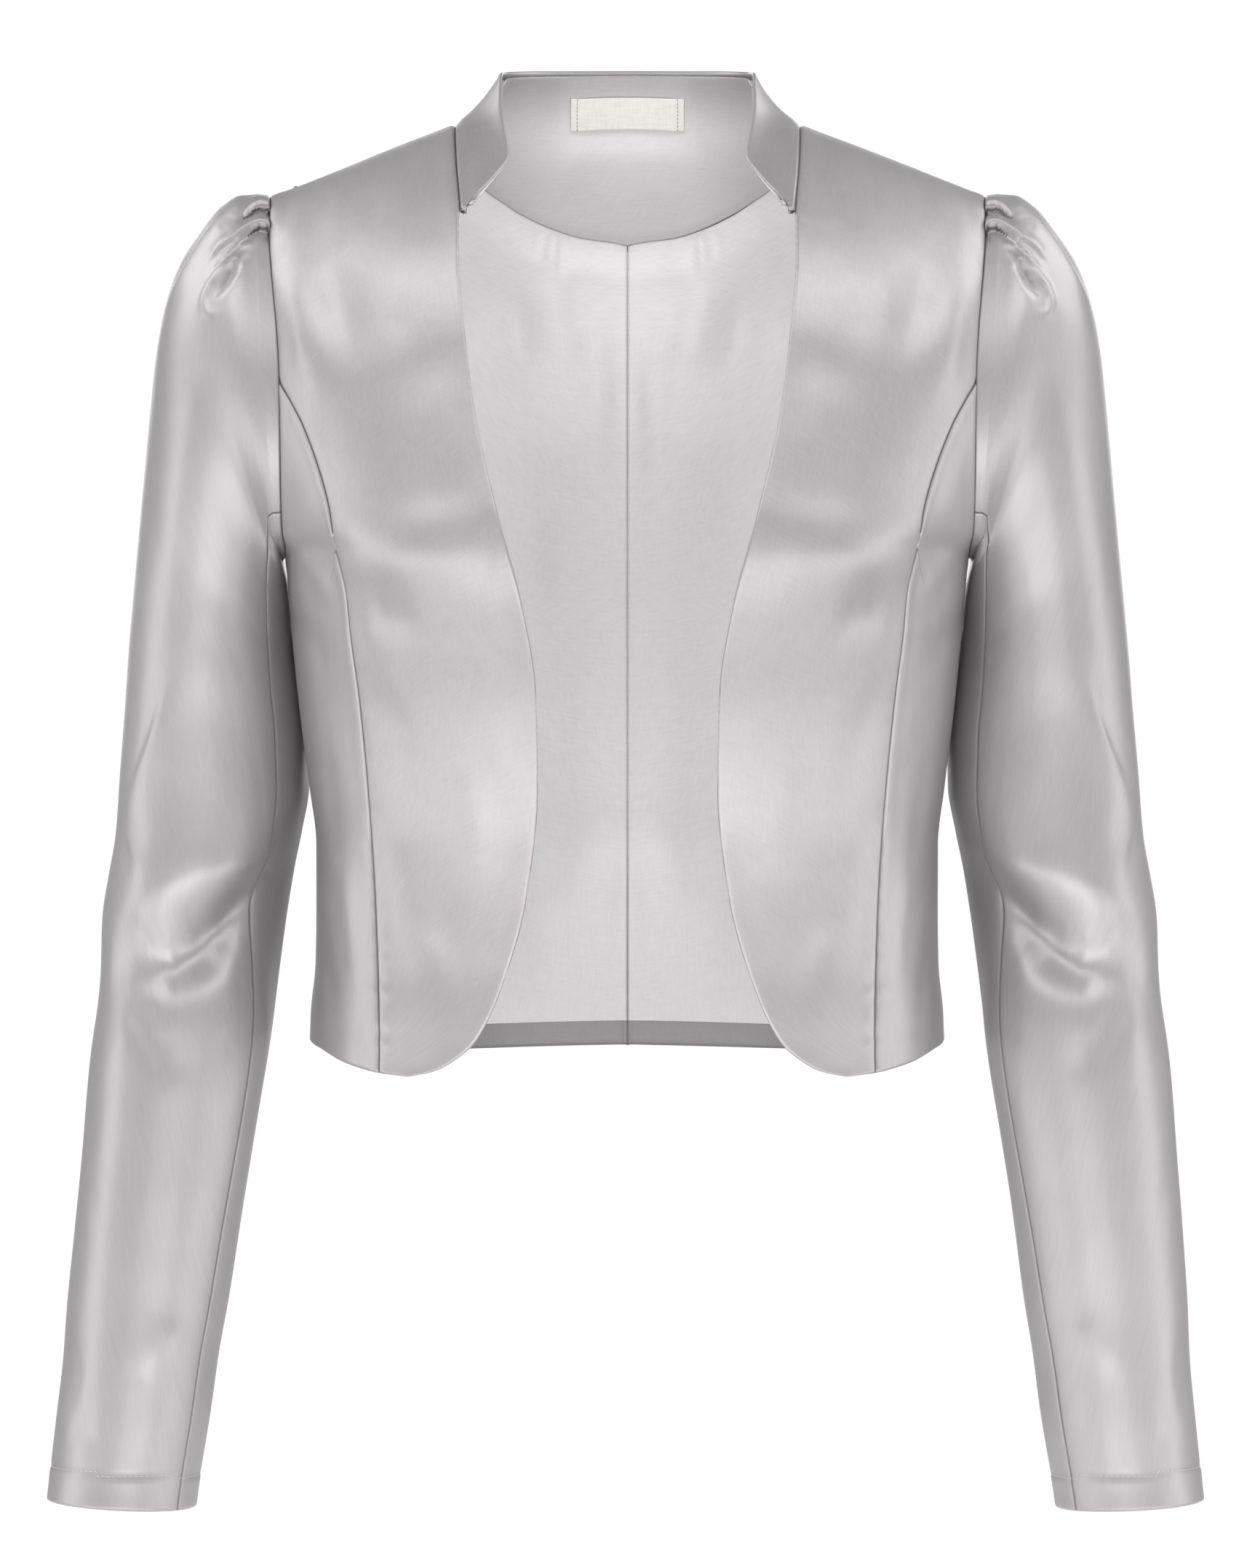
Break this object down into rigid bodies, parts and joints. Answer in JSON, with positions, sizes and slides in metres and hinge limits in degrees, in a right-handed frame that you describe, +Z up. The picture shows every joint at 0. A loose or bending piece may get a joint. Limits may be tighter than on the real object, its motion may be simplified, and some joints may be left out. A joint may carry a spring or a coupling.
{
  "type": "bolero jacket",
  "caption": "Cropped open-front satin bolero jacket with a stand collar, princess seams, curved front hem and long sleeves pleated at the head; hollow, held in its worn shape.",
  "frame": {"origin": "midway between the two points where the shoulder seams meet the neck seam, where the wearer's shoulders hold the jacket", "axes": "+Z up, the front faces -Y, +X is the wearer's left"},
  "size_m": [0.5488, 0.2228, 0.6928],
  "materials": {
    "satin": "pale silver grey stretch satin, soft broad sheen",
    "lining": "pale grey lining, less shine than the satin",
    "label": "cream woven ribbon, matt"
  },
  "bodies": {
    "root": {"front_left": "satin", "front_right": "satin", "side_front_left": "satin", "side_front_right": "satin", "back_left": "satin", "back_right": "satin", "sleeve_left": "satin", "sleeve_right": "satin", "collar": "satin", "neck_facing": "satin", "lining_left": "lining", "lining_right": "lining", "label": "label"}
  },
  "joints": []
}
